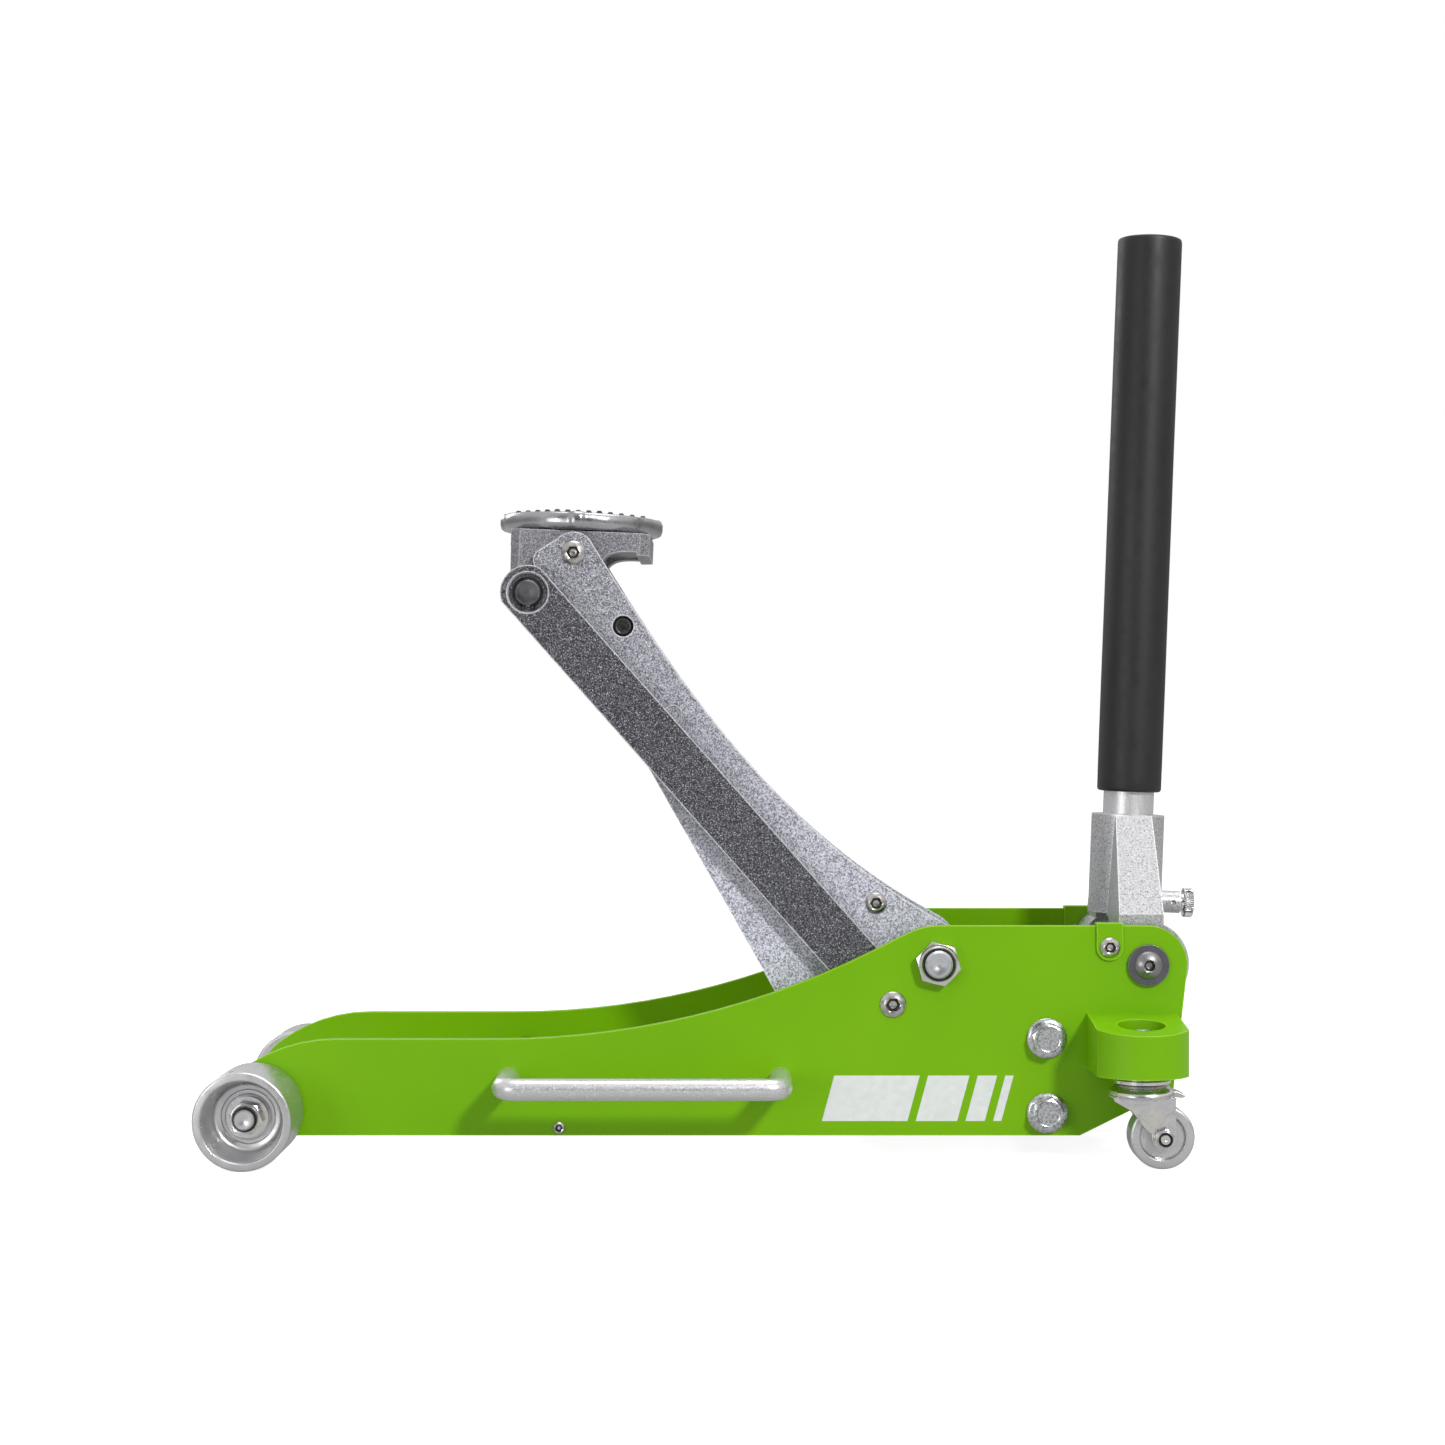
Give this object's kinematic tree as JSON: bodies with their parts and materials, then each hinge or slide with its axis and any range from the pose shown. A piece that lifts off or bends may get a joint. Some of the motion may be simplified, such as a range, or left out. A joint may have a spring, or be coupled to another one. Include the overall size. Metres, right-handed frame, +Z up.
{
  "type": "hydraulic trolley jack",
  "caption": "Low-profile trolley jack with a lift arm on parallel links, a swivelling saddle, an upright pump handle, front rollers and rear swivel casters.",
  "frame": {"origin": "on the floor, midway between the front rollers' leading edge and the retaining knob's tip, and midway between the side plates", "axes": "-X towards the saddle end, +X towards the handle end, +Y to the right seen from the handle, +Z up; stored with the arm raised and the handle upright"},
  "size_m": [0.7302, 0.314, 0.6828],
  "materials": {
    "green_paint": "satin powder coat, lime green",
    "sparkle_silver": "silver powder coat with coarse sparkle",
    "dark_sparkle": "dark grey powder coat with fine white sparkle",
    "cast_silver": "satin cast aluminium",
    "satin_aluminium": "machined satin aluminium",
    "zinc_plate": "bright zinc plate",
    "plain_steel": "ground steel",
    "black_steel": "black oxide",
    "black_paint": "satin black paint",
    "chrome_plate": "bright chrome",
    "spring_steel": "oiled spring steel",
    "black_foam": "matte black foam",
    "black_rubber": "moulded black rubber"
  },
  "bodies": {
    "chassis": {"side_plate_left": "green_paint", "side_plate_right": "green_paint", "front_tie_bar": "black_paint", "front_axle": "zinc_plate", "front_axle_washers": "zinc_plate", "front_axle_nuts": "zinc_plate", "caster_bracket_left": "green_paint", "caster_bracket_right": "green_paint", "caster_kingpins": "zinc_plate", "kingpin_nuts": "zinc_plate", "caster_race_washers": "zinc_plate", "grab_handle_left": "satin_aluminium", "grab_handle_right": "satin_aluminium", "inner_screws": "black_steel", "frame_button_screws": "zinc_plate", "main_shaft": "zinc_plate", "main_shaft_nuts": "zinc_plate", "pivot_spacers": "black_steel", "link_lower_pins": "zinc_plate", "pump_block": "black_paint", "ram_cylinder": "zinc_plate", "reservoir_tank": "black_paint", "unit_bolts": "zinc_plate", "clip_brackets": "green_paint", "yoke_pivot_screws": "zinc_plate", "yoke_pivot_washers": "black_steel", "return_springs": "spring_steel", "plunger_springs": "spring_steel"},
    "roller_left": {"front_roller_left": "satin_aluminium"},
    "roller_right": {"front_roller_right": "satin_aluminium"},
    "caster_left": {"caster_fork_left": "zinc_plate", "caster_axle_left": "zinc_plate"},
    "caster_right": {"caster_fork_right": "zinc_plate", "caster_axle_right": "zinc_plate"},
    "wheel_left": {"caster_wheel_left": "satin_aluminium"},
    "wheel_right": {"caster_wheel_right": "satin_aluminium"},
    "arm": {"lift_arm_left": "sparkle_silver", "lift_arm_right": "sparkle_silver", "arm_pivot_sleeve": "plain_steel", "arm_cross_tubes": "plain_steel", "arm_button_screws": "zinc_plate", "arm_set_screws": "black_steel", "lever_pin": "plain_steel"},
    "links": {"link_bar_left": "dark_sparkle", "link_bar_right": "dark_sparkle"},
    "bracket": {"saddle_bracket": "cast_silver", "arm_top_screws": "zinc_plate", "link_top_pin": "black_steel", "link_pin_circlips": "black_steel"},
    "saddle_cup": {"saddle": "cast_silver", "saddle_pad": "black_rubber"},
    "ram": {"ram_rod": "plain_steel", "crosshead": "plain_steel"},
    "plungers": {"pump_plungers": "plain_steel"},
    "spindle": {"release_spindle": "plain_steel"},
    "yoke": {"yoke_casting": "cast_silver"},
    "knob": {"retaining_knob": "chrome_plate"},
    "handle": {"handle_tube": "satin_aluminium", "handle_grip": "black_foam", "drive_cup": "black_paint"}
  },
  "joints": [
    {"name": "front_roller_left_spin", "type": "hinge", "parent": "chassis", "child": "roller_left", "pos_m": [-0.33, -0.11675, 0.035], "axis": [0, 1, 0], "continuous": true},
    {"name": "front_roller_right_spin", "type": "hinge", "parent": "chassis", "child": "roller_right", "pos_m": [-0.33, 0.11675, 0.035], "axis": [0, 1, 0], "continuous": true},
    {"name": "caster_left_swivel", "type": "hinge", "parent": "chassis", "child": "caster_left", "pos_m": [0.3055, -0.1235, 0.056], "axis": [0, 0, 1], "continuous": true},
    {"name": "caster_right_swivel", "type": "hinge", "parent": "chassis", "child": "caster_right", "pos_m": [0.3055, 0.1235, 0.056], "axis": [0, 0, 1], "continuous": true},
    {"name": "caster_wheel_left_spin", "type": "hinge", "parent": "caster_left", "child": "wheel_left", "pos_m": [0.319, -0.1235, 0.0228], "axis": [0, 1, 0], "continuous": true},
    {"name": "caster_wheel_right_spin", "type": "hinge", "parent": "caster_right", "child": "wheel_right", "pos_m": [0.319, 0.1235, 0.0228], "axis": [0, 1, 0], "continuous": true},
    {"name": "lift_arm", "type": "hinge", "parent": "chassis", "child": "arm", "pos_m": [0.164, 0, 0.1414], "axis": [0, 1, 0], "range_deg": [-59.7, 1.5]},
    {"name": "link_bars", "type": "hinge", "parent": "chassis", "child": "links", "pos_m": [0.1315, 0, 0.1114], "axis": [0, 1, 0], "range_deg": [-60, 2]},
    {"name": "saddle_level", "type": "hinge", "parent": "arm", "child": "bracket", "pos_m": [-0.10157, 0, 0.44052], "axis": [0, 1, 0], "range_deg": [-2, 60]},
    {"name": "saddle_swivel", "type": "hinge", "parent": "bracket", "child": "saddle_cup", "pos_m": [-0.10007, 0, 0.44046], "axis": [0.0419, 0, 0.9991], "continuous": true},
    {"name": "ram_slide", "type": "slide", "parent": "chassis", "child": "ram", "axis": [-1, 0, 0], "range_m": [-0.0806, 0.0022], "deforming": ["return_springs"]},
    {"name": "yoke_pump", "type": "hinge", "parent": "chassis", "child": "yoke", "pos_m": [0.3165, 0, 0.14], "axis": [0, 1, 0], "range_deg": [0, 60]},
    {"name": "pump_plungers", "type": "slide", "parent": "chassis", "child": "plungers", "axis": [-1, 0, 0], "range_m": [0, 0.0245], "deforming": ["plunger_springs"]},
    {"name": "handle_twist", "type": "hinge", "parent": "yoke", "child": "handle", "pos_m": [0.312, 0, 0.14], "axis": [0.0384, 0, 0.9993], "range_deg": [0, 180]},
    {"name": "release_spindle", "type": "hinge", "parent": "chassis", "child": "spindle", "pos_m": [0.312, 0, 0.14], "axis": [0.7071, 0, 0.7071], "range_deg": [0, 180]},
    {"name": "knob_turn", "type": "hinge", "parent": "yoke", "child": "knob", "pos_m": [0.31357, 0, 0.18097], "axis": [0.9993, 0, -0.0384], "range_deg": [0, 720]}
  ],
  "couplings": [
    {"joint": "link_bars", "follows": "lift_arm", "ratio": 1},
    {"joint": "saddle_level", "follows": "lift_arm", "ratio": -1},
    {"joint": "ram_slide", "follows": "lift_arm", "m_per_rad": 0.0772},
    {"joint": "pump_plungers", "follows": "yoke_pump", "m_per_rad": 0.0232},
    {"joint": "release_spindle", "follows": "handle_twist", "ratio": 1}
  ]
}
